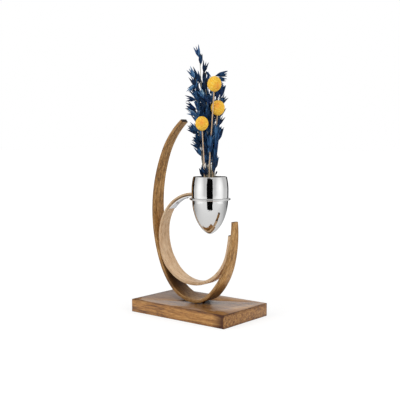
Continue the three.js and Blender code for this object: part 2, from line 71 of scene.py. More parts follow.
board_low, board_high = measured("base_board")
pot_low, pot_high = measured("pot")
ring_low, ring_high = measured("pot_ring")
pot_axis_x = (pot_low.x + pot_high.x) / 2
rim_z = pot_high.z
print("pot axis at x", round(pot_axis_x, 2), "and rim at z", round(rim_z, 2))

# %% [markdown]
# The camera stands nearly level with the pot, and is turned so that the board shows
# a long side and one end. A long lens keeps the upright lines upright.

# %% Camera
PHOTO_PIXELS = 400
FOCAL_PIXELS = 760
CAMERA_AZIMUTH = 39.1
CAMERA_ELEVATION = 4.6
CAMERA_DISTANCE = 1.281
CAMERA_AIM = Vector((0.0032, 0.0, 0.1948))


def direction(bearing, rise):
    """Unit vector at a bearing from +X towards +Y and at a rise above level, in degrees."""
    turn, lift = math.radians(bearing), math.radians(rise)
    return Vector((math.cos(lift) * math.cos(turn), math.cos(lift) * math.sin(turn), math.sin(lift)))


def towards(azimuth, elevation):
    """Unit vector towards a place whose azimuth is counted from the front."""
    return direction(azimuth - 90, elevation)


def placed(name, data):
    made = bpy.data.objects.new(name, data)
    scene.collection.objects.link(made)
    return made


camera = placed("camera", bpy.data.cameras.new("camera"))
back = towards(CAMERA_AZIMUTH, CAMERA_ELEVATION)
camera.location = CAMERA_AIM + back * CAMERA_DISTANCE
camera.rotation_euler = (-back).to_track_quat("-Z", "Y").to_euler()
camera.data.sensor_width = 36
camera.data.lens = camera.data.sensor_width * FOCAL_PIXELS / PHOTO_PIXELS
scene.camera = camera
scene.view_settings.view_transform = "Standard"
print("lens", round(camera.data.lens, 1), "mm")

# %% [markdown]
# Finishes are written as sums. A Wire wraps one output of a node, so that adding or
# multiplying wires adds the Math nodes that do it. A Finish is a node tree with one
# method that makes any other node from its type, its inputs and its settings.

# %% Shader maths
def maths_method(operation):
    """A method that joins a wire and another value with a Math node."""
    return lambda wire, other: wire.maths(operation, wire, other)


class Wire:
    """One number that nodes work out, with operators that add Math nodes."""

    def __init__(self, finish, socket):
        self.finish = finish
        self.socket = socket

    def maths(self, operation, first, second):
        return self.finish.node("Math", {0: first, 1: second}, operation=operation)

    __add__ = __radd__ = maths_method("ADD")
    __mul__ = __rmul__ = maths_method("MULTIPLY")
    __sub__ = maths_method("SUBTRACT")
    __truediv__ = maths_method("DIVIDE")
    least = maths_method("MINIMUM")
    most = maths_method("MAXIMUM")

    def __rsub__(self, other):
        return self.maths("SUBTRACT", other, self)

    def __abs__(self):
        return self.finish.node("Math", {0: self}, operation="ABSOLUTE")


def clamped(amount):
    """A wire kept between 0 and 1."""
    return amount.finish.node("Clamp", {"Value": amount})


class Finish:
    """A material, or any other node tree, whose nodes come from one method."""

    def __init__(self, tree):
        self.tree = tree

    def put(self, socket, value):
        if isinstance(value, Wire):
            self.tree.links.new(value.socket, socket)
        else:
            socket.default_value = value

    def node(self, kind, inputs=None, output=0, **settings):
        made = self.tree.nodes.new("ShaderNode" + kind)
        for name, value in settings.items():
            setattr(made, name, value)
        for name, value in (inputs or {}).items():
            self.put(made.inputs[name], value)
        return Wire(self, made.outputs[output])

    def noise(self, place, stretch, detail=4, roughness=0.5, distortion=0):
        """Noise on a place in space, with its own fineness along each axis."""
        return self.node("TexNoise", {
            "Vector": self.node("Mapping", {"Vector": place, "Scale": stretch}),
            "Scale": 1, "Detail": detail, "Roughness": roughness, "Distortion": distortion,
        })

    def ramp(self, amount, stops):
        """Colours by an amount, between stops of (place, colour)."""
        made = self.node("ValToRGB", {"Fac": amount})
        elements = made.socket.node.color_ramp.elements
        while len(elements) < len(stops):
            elements.new(1)
        for element, (position, tone) in zip(elements, stops):
            element.position = position
            element.color = tone
        return made

    def blend(self, amount, first, second):
        """Mixes two colours."""
        return self.node("Mix", {0: amount, 6: first, 7: second}, 2, data_type="RGBA")

    def length(self, place):
        return self.node("VectorMath", {0: place}, 1, operation="LENGTH")

    def axes(self, place, names):
        return [self.node("SeparateXYZ", {"Vector": place}, name) for name in names]

    def attribute(self, name, output="Fac"):
        """What the mesh keeps under a name."""
        return self.node("Attribute", None, output, attribute_name=name)

    def bump(self, strength, distance, height):
        return self.node("Bump", {"Strength": strength, "Distance": distance, "Height": height})

    def paint(self, **values):
        """Sets or links inputs of the material's Principled shader."""
        sockets = self.tree.nodes["Principled BSDF"].inputs
        for name, value in values.items():
            self.put(sockets[name.replace("_", " ")], value)

    def mix_shaders(self, share, first, second):
        """Ends the tree with a mix of two shaders."""
        mixed = self.node("MixShader", {0: share, 1: first, 2: second})
        self.put(self.tree.nodes["Material Output"].inputs["Surface"], mixed)


def new_material(name):
    material = bpy.data.materials.new(name)
    material.use_nodes = True
    return material, Finish(material.node_tree)


def principled(name, **values):
    material, finish = new_material(name)
    finish.paint(**values)
    return material, finish


def colour(red, green, blue):
    """A colour as it looks on a screen, from 0 to 255, as Blender's linear value."""
    def linear(level):
        level /= 255
        return level / 12.92 if level <= 0.04045 else ((level + 0.055) / 1.055) ** 2.4
    return (linear(red), linear(green), linear(blue), 1)


BLACK, WHITE = (0, 0, 0, 1), (1, 1, 1, 1)

# %% [markdown]
# The studio is white. Camera rays see a white world and glossy rays a pale grey one,
# and the light that falls on the vase is weaker, so that colours render as they are
# written. The floor is white too and takes a soft shadow. For glossy rays it is dimmer
# beside and behind the vase, which shades the lower half of the pot.

# %% World and floor
WORLD_LIGHT = 0.62
GLOSSY_WORLD = 0.7
FLOOR_SIZE = 30
FLOOR_ALBEDO = 0.8
FLOOR_SHADOW_SHARE = 0.42
FLOOR_GLOW_NEAR = 1.22
FLOOR_GLOW_GAIN = 0.2
FLOOR_GLOW_REACH = 1.5
FLOOR_GLOSSY_SHARE = 0.6
FLOOR_DUSK_HERE = 0.5
FLOOR_DUSK_SLOPE = 1.6
FLOOR_DUSK_NEAR = 0.5
FLOOR_DUSK_FAR = 1.7
FLOOR_DUSK_FADE = 0.5

world = bpy.data.worlds.new("studio")
world.use_nodes = True
scene.world = world


def ray_kinds(finish):
    """Wires that are 1 for camera, glossy and transmission rays."""
    return [finish.node("LightPath", None, f"Is {kind} Ray") for kind in ("Camera", "Glossy", "Transmission")]


sky = Finish(world.node_tree)
seen, glossy, through = ray_kinds(sky)
strength = WORLD_LIGHT + seen * (1 - WORLD_LIGHT) + (glossy + through) * (GLOSSY_WORLD - WORLD_LIGHT)
background = world.node_tree.nodes["Background"].inputs
background["Color"].default_value = WHITE
sky.put(background["Strength"], strength)


def white_floor():
    """Pale floor that glows enough to look white, and is dim behind for glossy rays."""
    material, finish = new_material("white floor")
    seen, glossy, through = ray_kinds(finish)
    paint = finish.node("BsdfDiffuse", {"Color": (FLOOR_ALBEDO,) * 3 + (1,)})
    place = finish.node("TexCoord", None, "Object")
    distance = finish.length(place)
    rise = distance.least(FLOOR_GLOW_REACH) * FLOOR_GLOW_GAIN * seen
    ahead = finish.node("VectorMath", {0: place, 1: towards(CAMERA_AZIMUTH, 0)}, 1, operation="DOT_PRODUCT")
    behind = clamped(FLOOR_DUSK_HERE - ahead * FLOOR_DUSK_SLOPE)
    near = clamped(distance / FLOOR_DUSK_NEAR)
    far = clamped((FLOOR_DUSK_FAR - distance) / FLOOR_DUSK_FADE)
    bright = (rise + FLOOR_GLOW_NEAR) * (1 - glossy * behind * near * far)
    share = (seen + glossy * FLOOR_GLOSSY_SHARE + through) * (1 - FLOOR_SHADOW_SHARE)
    finish.mix_shaders(share, paint, finish.node("Emission", {"Strength": bright}))
    return material


def stage_plane(name, width, height, place, facing, material):
    """A flat rectangle of the studio, turned to face a way."""
    bm = bmesh.new()
    bm.loops.layers.uv.new("UVMap")
    bmesh.ops.create_grid(bm, x_segments=1, y_segments=1, size=0.5, calc_uvs=True)
    bmesh.ops.scale(bm, vec=(width, height, 1), verts=bm.verts)
    turn = facing.to_track_quat("Z", "Y").to_matrix().to_4x4()
    bmesh.ops.transform(bm, matrix=Matrix.Translation(place) @ turn, verts=bm.verts)
    mesh = bpy.data.meshes.new(name)
    bm.to_mesh(mesh)
    bm.free()
    mesh.materials.append(material)
    plane = placed(name, mesh)
    return plane


stage_plane("floor", FLOOR_SIZE, FLOOR_SIZE, Vector((0, 0, 0)), Vector((0, 0, 1)), white_floor())
print("floor", FLOOR_SIZE, "m")

# %% [markdown]
# Two large soft lamps stand left and right of the camera. A mirror-like pot shows the
# whole room, so cards that only glossy rays see stand round it. A black one by the
# camera makes the dark stripe down its middle, and two behind draw the dark lines
# along its edges. Two glowing ones between them add soft bright bands.

# %% Lamps and cards
LAMP_ELEVATION = 24
LAMP_DISTANCE = 1.5
LAMP_SIZE = 1.1
LAMPS = [("lamp_left", -22, 9.5), ("lamp_right", 96, 7.5)]

# Name, bearing from the camera and half the angle it spans in degrees, distance,
# bottom and top in metres, and glow
CARDS = [
    ("card_camera", -2, 18, 0.34, 0.018, 0.36, 0),
    ("card_left", -139, 24, 0.6, 0.07, 0.6, 0),
    ("card_right", 145, 13, 0.6, 0.07, 0.6, 0),
    ("soft_left", -68, 32, 0.8, -0.2, 0.7, 1.42),
    ("soft_right", 62, 32, 0.8, -0.2, 0.7, 1.42),
]
pot_middle = Vector((pot_axis_x, 0, (pot_low.z + pot_high.z) / 2)) * MM

for name, azimuth, watts in LAMPS:
    lamp = placed(name, bpy.data.lights.new(name, "AREA"))
    away = towards(azimuth, LAMP_ELEVATION)
    lamp.location = pot_middle + away * LAMP_DISTANCE
    lamp.rotation_euler = (-away).to_track_quat("-Z", "Y").to_euler()
    lamp.data.size = LAMP_SIZE
    lamp.data.energy = watts
    lamp.visible_glossy = False


def soft_card(glow):
    """A card whose light fades to nothing at its edges."""
    material, finish = new_material("soft card")
    uv = finish.node("UVMap", uv_map="UVMap")
    centred = finish.node("Mapping", {"Vector": uv, "Location": (-1, -1, 0), "Scale": (2, 2, 0)})
    share = finish.ramp(finish.length(centred), [(0, WHITE), (0.5, (0.6, 0.6, 0.6, 1)), (1, BLACK)])
    finish.mix_shaders(share, finish.node("BsdfTransparent"), finish.node("Emission", {"Strength": glow}))
    return material


black_card, _ = principled(
    "black card", Base_Color=(0.004, 0.004, 0.004, 1), Roughness=1.0, Specular_IOR_Level=0.0)
for name, bearing, half_angle, distance, bottom, top, glow in CARDS:
    away = towards(CAMERA_AZIMUTH + bearing, 0)
    place = Vector((pot_axis_x * MM, 0, (bottom + top) / 2)) + away * distance
    width = 2 * distance * math.tan(math.radians(half_angle))
    card = stage_plane(name, width, top - bottom, place, -away, soft_card(glow) if glow else black_card)
    for rays in ("camera", "diffuse", "shadow", "transmission"):
        setattr(card, f"visible_{rays}", False)
print("lamps", len(LAMPS), "cards", len(CARDS))

# %% [markdown]
# Oak is a bundle of fibres inside growth rings. The rings are cylinders round the
# heart of the tree, so the distance from a line along the grain, bent by noise, gives
# stripes along a face and arcs across an end. Noise stretched along the grain adds
# the fibres, and a finer one the open pores.

# %% Oak finish
RING_GAP = 7.5
RING_WANDER = 16.0
WANDER_STRETCH = (0.006, 0.04, 0.04)
FIBRE_STRETCH = (0.05, 0.75, 0.75)
STREAK_STRETCH = (0.018, 0.28, 0.28)
PATCH_STRETCH = (0.02, 0.035, 0.035)
FLECK_STRETCH = (0.16, 0.5, 0.5)
PORE_STRETCH = (0.12, 2.4, 2.4)
END_FLECK_STRETCH = (0.3, 0.16, 0.34)
FACE_DEPTH = 2.7


def oak(name, place_from, shade_and_stain_from, heart, tones, coat, streaky, flecked):
    """Lacquered oak whose grain runs along the first axis of the place, in millimetres."""
    material, finish = principled(
        name, Coat_Roughness=0.14, Coat_IOR=1.45, IOR=1.4, Specular_IOR_Level=0.4)
    place = place_from(finish)
    wander = finish.noise(place, WANDER_STRETCH, detail=3)
    centred = finish.node("Mapping", {
        "Vector": place, "Location": (0, -heart[0], -heart[1]), "Scale": (0, 1, 1)})
    phase = (finish.length(centred) + wander * RING_WANDER) * (2 * math.pi / RING_GAP)
    rings = finish.node("Math", {0: phase}, operation="SINE") * 0.5 + 0.5
    streaks = finish.noise(place, STREAK_STRETCH, detail=4, roughness=0.7, distortion=0.4)
    fibres = finish.noise(place, FIBRE_STRETCH, detail=3, roughness=0.6)
    patches = finish.noise(place, PATCH_STRETCH, detail=3, roughness=0.6)
    flecks = finish.noise(place, FLECK_STRETCH, detail=2, roughness=0.6)
    grain = (rings - 0.5) * 0.06 + (streaks - 0.5) * streaky + (flecks - 0.5) * flecked
    grain = grain + (fibres - 0.5) * 0.7 + (patches - 0.5) * 0.5 + 0.5
    pores = finish.ramp(finish.noise(place, PORE_STRETCH, detail=2), [(0.34, BLACK), (0.44, WHITE)])
    stain_and_shade, dark, middle, light = (colour(*tone) for tone in tones)
    wood = finish.ramp(grain, [(0.26, dark), (0.5, middle), (0.76, light)])
    # Painted shade: the piece's own shade function gives an amount, mostly painted shade and partly stain,
    # that mixes the wood towards its darkest tone along with the open pores. The coat thins where shade is
    # painted, so those parts lose sheen too.
    shade = shade_and_stain_from(finish, place)
    finish.paint(
        Base_Color=finish.blend(shade + (1 - pores) * 0.35, wood, stain_and_shade),
        Coat_Weight=(1 - shade * 0.75) * coat,
        Roughness=0.42 + streaks * 0.2,
        Normal=finish.bump(0.35, 0.00012, fibres * 0.6 + pores * 0.4))
    return material


def object_place(finish):
    """Where a point of the piece lies, in millimetres."""
    return finish.node("Mapping", {
        "Vector": finish.node("TexCoord", None, "Object"), "Scale": (1 / MM,) * 3})


def strip_place(finish):
    """Where a point lay in the straight strip, before it was bent."""
    return finish.attribute("grain", "Vector")


def lath_shade_and_stain(side_share, spots=()):
    """Painted shade on the sides and on faces round some places along the lath, and darker ends from the
    stain that the end grain takes.
    """
    def shade(finish, place):
        along, depth = finish.axes(place, "XZ")
        side = clamped((FACE_DEPTH - abs(depth)) * 2.5)
        faces = {
            "side": side,
            "inner layer": side * clamped((-0.2 - depth) * 2),
            "hollow": clamped((-FACE_DEPTH - depth) * 25),
            "outside": clamped((depth - FACE_DEPTH) * 25),
        }
        # The sawn sides carry painted shade; the ends are darker from stain.
        amount = side * side_share + clamped(1 - finish.attribute("to_end") / 1.8) * 0.7
        # Each spot paints shade on one kind of face round a place along the lath.
        for face, at, reach, share in spots:
            amount = amount + clamped(1.2 - abs(along - at) / reach) * faces[face] * share
        return clamped(amount)
    return shade


def board_shade_and_stain(finish, place):
    """Darker wood along the edges and in the end grain, and painted shade by the near corner, round the foot
    and over the back and front of the top.
    """
    half = (board_high - board_low) / 2
    middle = (board_high + board_low) / 2
    right, back, up = along = finish.axes(place, "XYZ")
    x, y, z = (half[i] - abs(along[i] - middle[i]) for i in range(3))
    edge = x.least(y).most(z)
    edges = clamped(1 - edge / 5) * 0.45
    # Painted shade: a dark band on the front face beside the near right corner.
    corner = clamped(1.2 - x / 20) * clamped(1.5 - y) * clamped(right / 9) * clamped(x / 2) * 0.95
    flecks = finish.ramp(
        finish.noise(place, END_FLECK_STRETCH, detail=2, roughness=0.6), [(0.36, WHITE), (0.46, BLACK)])
    on_end = clamped(1.5 - x) * (flecks * 0.4 + 0.18)
    top = clamped(up - board_high.z + 1.5)
    # Painted shadow: dark wood on the top round the strip's foot, where it stands on the board.
    painted_foot_shadow = clamped(1.3 - abs(right - 7) / 12) * clamped(1.7 - abs(back + 4) / 18) * 0.92
    # Painted shade on the top: darker towards the back left, and along the front towards the right.
    behind = clamped((back - right) / 90 + 0.05) * 0.6
    front = clamped((-15 - back) / 20) * clamped(right / 30) * 0.35
    return clamped(edges + corner + on_end + top * (painted_foot_shadow + behind + front))


BOARD_TONES = [(70, 32, 8), (74, 36, 10), (170, 116, 52), (212, 160, 92)]
OUTER_TONES = [(74, 46, 18), (84, 54, 20), (176, 128, 68), (222, 180, 122)]
INNER_TONES = [(92, 68, 38), (180, 140, 100), (222, 186, 146), (240, 214, 180)]
END_TONES = [(30, 20, 12), (40, 26, 16), (72, 50, 32), (100, 74, 50)]

# Face, place along the lath, reach along it and share of painted shade
OUTER_SPOTS = [
    ("side", -18, 60, 0.12), ("hollow", -62, 44, 0.95), ("hollow", -10, 30, 0.4), ("outside", 34, 30, 0.8),
]
INNER_SPOTS = [("side", 15, 75, 0.12), ("inner layer", 15, 75, 0.6)]
board_oak = oak("oak board", object_place, board_shade_and_stain, (12, -60), BOARD_TONES, 0.75, 0.9, 0.25)
outer_oak = oak(
    "dark bent oak", strip_place, lath_shade_and_stain(0.36, OUTER_SPOTS), (-30, 24), OUTER_TONES, 0.25, 0.6, 0.6)
inner_oak = oak(
    "pale bent oak", strip_place, lath_shade_and_stain(0.25, INNER_SPOTS), (26, 30), INNER_TONES, 0.25, 0.4, 0.5)
end_oak = oak("end grain", strip_place, lath_shade_and_stain(0), (-30, 24), END_TONES, 0.1, 0.5, 0.5)
print("oak finishes", 4)

# %% [markdown]
# Polished steel is a mirror, but wiping leaves faint cloudy changes in roughness,
# which soften the edges of what it reflects.

# %% Metal finishes
def metal(name, tint, smooth, cloudy, metallic=1.0):
    """Bare metal whose roughness changes softly between two values, with faint ripples."""
    material, finish = principled(name, Metallic=metallic)
    place = object_place(finish)
    clouds = finish.noise(place, (0.05,) * 3, detail=3)
    finish.paint(
        Base_Color=finish.blend(clouds, tint, tuple(0.97 * c for c in tint[:3]) + (1,)),
        Roughness=smooth + clouds * (cloudy - smooth),
        Normal=finish.bump(1.0, 0.00012, finish.noise(place, (0.16,) * 3, detail=2)))
    return material


mirror_metal = metal("mirror polish", (0.74, 0.74, 0.735, 1), 0.02, 0.06)
strap_metal = metal("strap polish", (0.74, 0.75, 0.77, 1), 0.08, 0.2)
screw_metal = metal("screw steel", (0.8, 0.8, 0.81, 1), 0.4, 0.5, 0.3)
print("metal finishes", 3)

# %% [markdown]
# The dried flowers are dull. Globe heads are yellow on their florets, with painted shade,
# a darker orange, in the gaps between them and over one side of each head. The oats took
# their dye unevenly, from navy to sea blue, and their stems are greyish straw.

# %% Flower finishes
def globe_finish():
    material, finish = principled("yellow florets", Roughness=0.85)
    floret = finish.ramp(finish.attribute("tone"), [
        (0, colour(240, 178, 44)), (0.5, colour(248, 200, 62)), (1, colour(252, 216, 96))])
    # Painted shade: one side of the head turns a darker orange.
    patch_shaded = finish.blend(finish.attribute("shade_patch"), floret, colour(240, 142, 60))
    # Painted shade: the florets darken towards orange in the gaps between them.
    gap = finish.attribute("gap")
    finish.paint(Base_Color=finish.blend(gap * 0.6, patch_shaded, colour(216, 148, 30)))
    return material


def straw_finish(name, low, high):
    """Dry straw with fine lines along the stem."""
    material, finish = principled(name, Roughness=0.75)
    lines = finish.noise(object_place(finish), (1.5, 1.5, 0.06), detail=3)
    finish.paint(
        Base_Color=finish.blend(lines, colour(*low), colour(*high)), Normal=finish.bump(0.4, 0.0002, lines))
    return material


def dyed_finish():
    """Navy to sea blue by each husk's own tone, in patches and lines, with some violet."""
    material, finish = principled("dyed oats", Roughness=0.6, Specular_IOR_Level=0.2)
    place = object_place(finish)
    patches = finish.noise(place, (0.12, 0.12, 0.05), detail=3)
    lines = finish.noise(place, (0.5, 0.5, 0.07), detail=3, roughness=0.6)
    dye = finish.ramp(finish.attribute("tone") * 0.65 + patches * 0.5 + lines * 0.9 - 0.6, [
        (0.1, colour(5, 24, 48)), (0.38, colour(20, 58, 96)),
        (0.62, colour(62, 108, 154)), (0.9, colour(150, 186, 208)),
    ])
    violet = finish.ramp(finish.noise(place, (0.035,) * 3, detail=2), [(0.52, BLACK), (0.68, WHITE)])
    finish.paint(
        Base_Color=finish.blend(violet * 0.35, dye, colour(24, 32, 96)),
        Normal=finish.bump(0.5, 0.0003, finish.noise(place, (1.2, 1.2, 0.2), detail=2)))
    return material


globe_yellow = globe_finish()
globe_straw = straw_finish("globe straw", (156, 126, 98), (226, 200, 168))
oat_straw = straw_finish("oat straw", (84, 92, 84), (186, 176, 150))
dyed_blue = dyed_finish()
print("flower finishes", 4)

# %% [markdown]
# Every new piece ends the same way: it is cleaned, scaled to metres and hung from
# the body it moves with, and the solids it stands for are hidden.

# %% Finishing a piece
MERGE_DISTANCE = 0.0005
SHARP_ANGLE = 38


def made_mesh(name, bm):
    """A clean mesh in metres from a bmesh in millimetres."""
    bmesh.ops.remove_doubles(bm, verts=bm.verts, dist=MERGE_DISTANCE)
    bmesh.ops.scale(bm, vec=(MM, MM, MM), verts=bm.verts)
    bmesh.ops.recalc_face_normals(bm, faces=bm.faces)
    mesh = bpy.data.meshes.new(name)
    bm.to_mesh(mesh)
    bm.free()
    return mesh


def finished(name, bm, body, materials, nodes):
    """A shaded object from a bmesh in millimetres, in place of its solids."""
    mesh = made_mesh(name, bm)
    for material in materials:
        mesh.materials.append(material)
    mesh.shade_smooth()
    mesh.set_sharp_from_angle(angle=math.radians(SHARP_ANGLE))
    piece = placed(name, mesh)
    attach(piece, body)
    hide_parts(*nodes)
    print(name, len(mesh.polygons), "faces")
    return piece


# %% [markdown]
# The board is a block with eased edges. Underneath, two holes with wide mouths take
# the screws that hold the strips. A turned shape cuts them out, as a drill does.

# %% Board
BOARD_EASE = 0.9
SCREW_RECESS = 0.6
SCREW_HEAD_RADIUS = 3.9
SCREW_HEAD_HEIGHT = 2.9
SCREW_SHANK_RADIUS = 2.1
DRILL_OVERRUN = 5
DRILL_SEGMENTS = 32


def spun(bm, profile, centre, segments):
    """Turns a profile of (radius, height) round an upright axis."""
    verts = [bm.verts.new((centre.x + radius, centre.y, centre.z + height)) for radius, height in profile]
    edges = [bm.edges.new(pair) for pair in zip(verts, verts[1:])]
    bmesh.ops.spin(
        bm, geom=verts + edges, cent=centre, axis=(0, 0, 1), dvec=(0, 0, 0),
        angle=2 * math.pi, steps=segments, use_merge=True, use_duplicate=False)


drill_bottom, drill_top = board_low.z - DRILL_OVERRUN, board_high.z + DRILL_OVERRUN
drill_profile = [
    (0, drill_bottom), (SCREW_HEAD_RADIUS, drill_bottom), (SCREW_HEAD_RADIUS, SCREW_RECESS),
    (SCREW_SHANK_RADIUS, SCREW_RECESS + SCREW_HEAD_HEIGHT), (SCREW_SHANK_RADIUS, drill_top), (0, drill_top),
]
bm = bmesh.new()
for node in ("board_screw_front", "board_screw_back"):
    low, high = measured(node)
    spun(bm, drill_profile, Vector(((low.x + high.x) / 2, (low.y + high.y) / 2, 0)), DRILL_SEGMENTS)
cutter = placed("cutter", made_mesh("drilled away", bm))

bm = bmesh.new()
bmesh.ops.create_cube(bm, size=1)
bmesh.ops.scale(bm, vec=board_high - board_low, verts=bm.verts)
bmesh.ops.translate(bm, vec=(board_low + board_high) / 2, verts=bm.verts)
bmesh.ops.bevel(
    bm, geom=bm.edges, offset=BOARD_EASE, offset_type="OFFSET", affect="EDGES",
    segments=3, profile=0.5, material=-1)
board = finished("board", bm, "stand", [board_oak], ["base_board"])
holes = board.modifiers.new("screw holes", "BOOLEAN")
holes.object = cutter
holes.solver = "EXACT"
drilled = bpy.data.meshes.new_from_object(board.evaluated_get(bpy.context.evaluated_depsgraph_get()))
board.modifiers.clear()
board.data = drilled
bpy.data.objects.remove(cutter)

# %% [markdown]
# A strip is a straight, tapered lath that was bent. Its middle line is a chain of
# arcs that run on from each other without a kink. A section is extruded along them,
# and then every ring of points gets its own width. Each point keeps its place in the
# straight lath, and the oak's grain follows that.

# %% Arcs
STATION_ANGLE = 1.5
STATION_LENGTH = 4


class ArcChain:
    """Arcs in the upright plane of the strips. Outward points away from the centre."""

    def __init__(self, start, outward_angle, side):
        self.end = Vector(start)
        self.angle = outward_angle
        self.side = side
        self.arcs = []
        self.length = 0

    def add(self, radius, degrees):
        sweep = math.radians(degrees)
        centre = self.end - radius * compass(self.angle)
        self.arcs.append({
            "centre": centre, "radius": radius, "sweep": sweep,
            "from": self.angle, "start": self.length,
        })
        self.length += radius * sweep
        self.angle += self.side * sweep
        self.end = centre + radius * compass(self.angle)

    def at(self, distance):
        arc = [each for each in self.arcs if distance >= each["start"]][-1]
        angle = arc["from"] + self.side * (distance - arc["start"]) / arc["radius"]
        return arc["centre"] + arc["radius"] * compass(angle), angle

    def distances(self):
        found = [0]
        for arc in self.arcs:
            length = arc["radius"] * arc["sweep"]
            steps = math.ceil(max(arc["sweep"] / math.radians(STATION_ANGLE), length / STATION_LENGTH))
            found += [arc["start"] + length * (i + 1) / steps for i in range(steps)]
        return found


def compass(angle):
    """Unit vector in the plane of the strips."""
    return Vector((math.cos(angle), math.sin(angle)))


def eased(first, last, share):
    return first + (last - first) * min(max(share, 0), 1)


def corner_inset(distance, radius):
    """Half of the width that a rounded corner takes away near an end."""
    if distance >= radius:
        return 0
    return radius - math.sqrt(radius * radius - (radius - distance) ** 2)


# %% Strips as chains of arcs
FIT_GAP = 0.3
OUTER_THICKNESS = 5.5
INNER_THICKNESS = 5.5
OUTER_FOOT_X = 3
OUTER_FOOT_FLAT = 0.4
INNER_END_DROP = 23
INNER_GLUE_LENGTH = 32.5
INNER_SHOULDER = (91.1, 28)
INNER_CROWN_RADIUS = 70
INNER_RING_WIDTH = 11
INNER_WIDEST_WIDTH = 28.5
INNER_WIDEST_AT = 165
INNER_END_WIDTH = 13
GLUE_OFFSET = (OUTER_THICKNESS + INNER_THICKNESS) / 2 + FIT_GAP

# Radius and sweep of each arc from the foot, in millimetres and degrees
RIGHT_ARCS = [(44, 45), (132, 27.5), (206, 20.2)]
LEFT_ARCS = [(70, 45.5), (120, 20), (240, 48), (135, 29)]
TOUCHED_ARC = 2
foot = (OUTER_FOOT_X, board_high.z + FIT_GAP + OUTER_THICKNESS / 2 - OUTER_FOOT_FLAT)
right_arm = ArcChain(foot, math.radians(-90), 1)
left_arm = ArcChain(foot, math.radians(-90), -1)
for arm, arcs in ((right_arm, RIGHT_ARCS), (left_arm, LEFT_ARCS)):
    for radius, sweep in arcs:
        arm.add(radius, sweep)
glue_start = right_arm.length - INNER_END_DROP - INNER_GLUE_LENGTH


def glued_at(distance):
    """A place on the inner strip where it lies against the right arm."""
    point, angle = right_arm.at(distance)
    return point - GLUE_OFFSET * compass(angle), angle


def inner_chain():
    """Round a loop that touches the left arm, and over the crown until it is level."""
    leave, angle = glued_at(glue_start)
    arm = left_arm.arcs[TOUCHED_ARC]
    arm_radius = arm["radius"] - GLUE_OFFSET
    span = leave - arm["centre"]
    reach = arm_radius - span.dot(compass(angle))
    loop_radius = (arm_radius ** 2 - span.length_squared) / (2 * reach)
    away = leave - loop_radius * compass(angle) - arm["centre"]
    touch = math.atan2(away.y, away.x) % (2 * math.pi) - 2 * math.pi
    chain = ArcChain(leave, angle, -1)
    chain.add(loop_radius, math.degrees(angle - touch))
    chain.add(*INNER_SHOULDER)
    chain.add(INNER_CROWN_RADIUS, math.degrees(chain.angle) + 270)
    return chain


inner_loop = inner_chain()
inner_length = inner_loop.length + INNER_GLUE_LENGTH


def inner_at(distance):
    """A place on the inner strip, by its distance from the end over the ring."""
    from_glue = inner_loop.length - distance
    if from_glue >= 0:
        return inner_loop.at(from_glue)
    return glued_at(glue_start - from_glue)


def inner_width(distance):
    if distance < INNER_WIDEST_AT:
        return eased(INNER_RING_WIDTH, INNER_WIDEST_WIDTH, distance / INNER_WIDEST_AT)
    past = (distance - INNER_WIDEST_AT) / (inner_length - INNER_WIDEST_AT)
    return eased(INNER_WIDEST_WIDTH, INNER_END_WIDTH, past)


print("strip lengths", round(right_arm.length + left_arm.length, 1), round(inner_length, 1))

# %% Bending a lath
LATH_HALF_WIDTH = 10
LATH_EASE = 0.7
CORNER_SHARES = [0.02, 0.08, 0.18, 0.3, 0.45, 0.62, 0.8, 1]


def station_matrix(point, angle):
    """Local x points outward from the arc, y across the strip and z along it."""
    return Matrix.Translation((point.x, 0, point.y)) @ Matrix.Rotation(-angle, 4, "Y")


def swept(bm, ring, places):
    """Extrudes a ring of edges through a list of places and returns every ring's points."""
    verts = list({vert for edge in ring for vert in edge.verts})
    bmesh.ops.transform(bm, matrix=places[0], verts=verts)
    rings = [verts]
    for before, after in zip(places, places[1:]):
        made = bmesh.ops.extrude_edge_only(bm, edges=ring)["geom"]
        verts = [item for item in made if isinstance(item, bmesh.types.BMVert)]
        ring = [item for item in made if isinstance(item, bmesh.types.BMEdge)
                and set(verts).issuperset(item.verts)]
        bmesh.ops.transform(bm, matrix=after @ before.inverted(), verts=verts)
        rings.append(verts)
    return rings


def close_ends(bm, material_index):
    """Caps the open ends of a swept shape."""
    open_edges = [edge for edge in bm.edges if edge.is_boundary]
    for face in bmesh.ops.holes_fill(bm, edges=open_edges, sides=0)["faces"]:
        face.material_index = material_index


def bent_lath(stations, inside, outside, ease):
    """Bends a straight lath. A station is (distance, point, angle, width)."""
    bm = bmesh.new()
    bmesh.ops.create_grid(bm, x_segments=1, y_segments=1, size=1)
    corners = Matrix.Diagonal(((outside - inside) / 2, LATH_HALF_WIDTH, 1, 1))
    corners.translation = ((outside + inside) / 2, 0, 0)
    bmesh.ops.transform(bm, matrix=corners, verts=bm.verts)
    bmesh.ops.bevel(
        bm, geom=bm.verts, offset=ease, offset_type="OFFSET", affect="VERTICES",
        segments=3, profile=0.5, material=-1)
    bmesh.ops.delete(bm, geom=bm.faces, context="FACES_ONLY")
    grain = bm.verts.layers.float_vector.new("grain")
    to_end = bm.verts.layers.float.new("to_end")
    places = [station_matrix(point, angle) for _, point, angle, _ in stations]
    rings = swept(bm, list(bm.edges), places)
    for (distance, _, _, width), place, ring in zip(stations, places, rings):
        for vert in ring:
            local = place.inverted() @ vert.co
            across = math.copysign(width / 2 - (LATH_HALF_WIDTH - abs(local.y)), local.y)
            vert.co = place @ Vector((local.x, across, 0))
            vert[grain] = (distance, across, local.x)
            vert[to_end] = min(distance - stations[0][0], stations[-1][0] - distance)
    close_ends(bm, 1)
    return bm


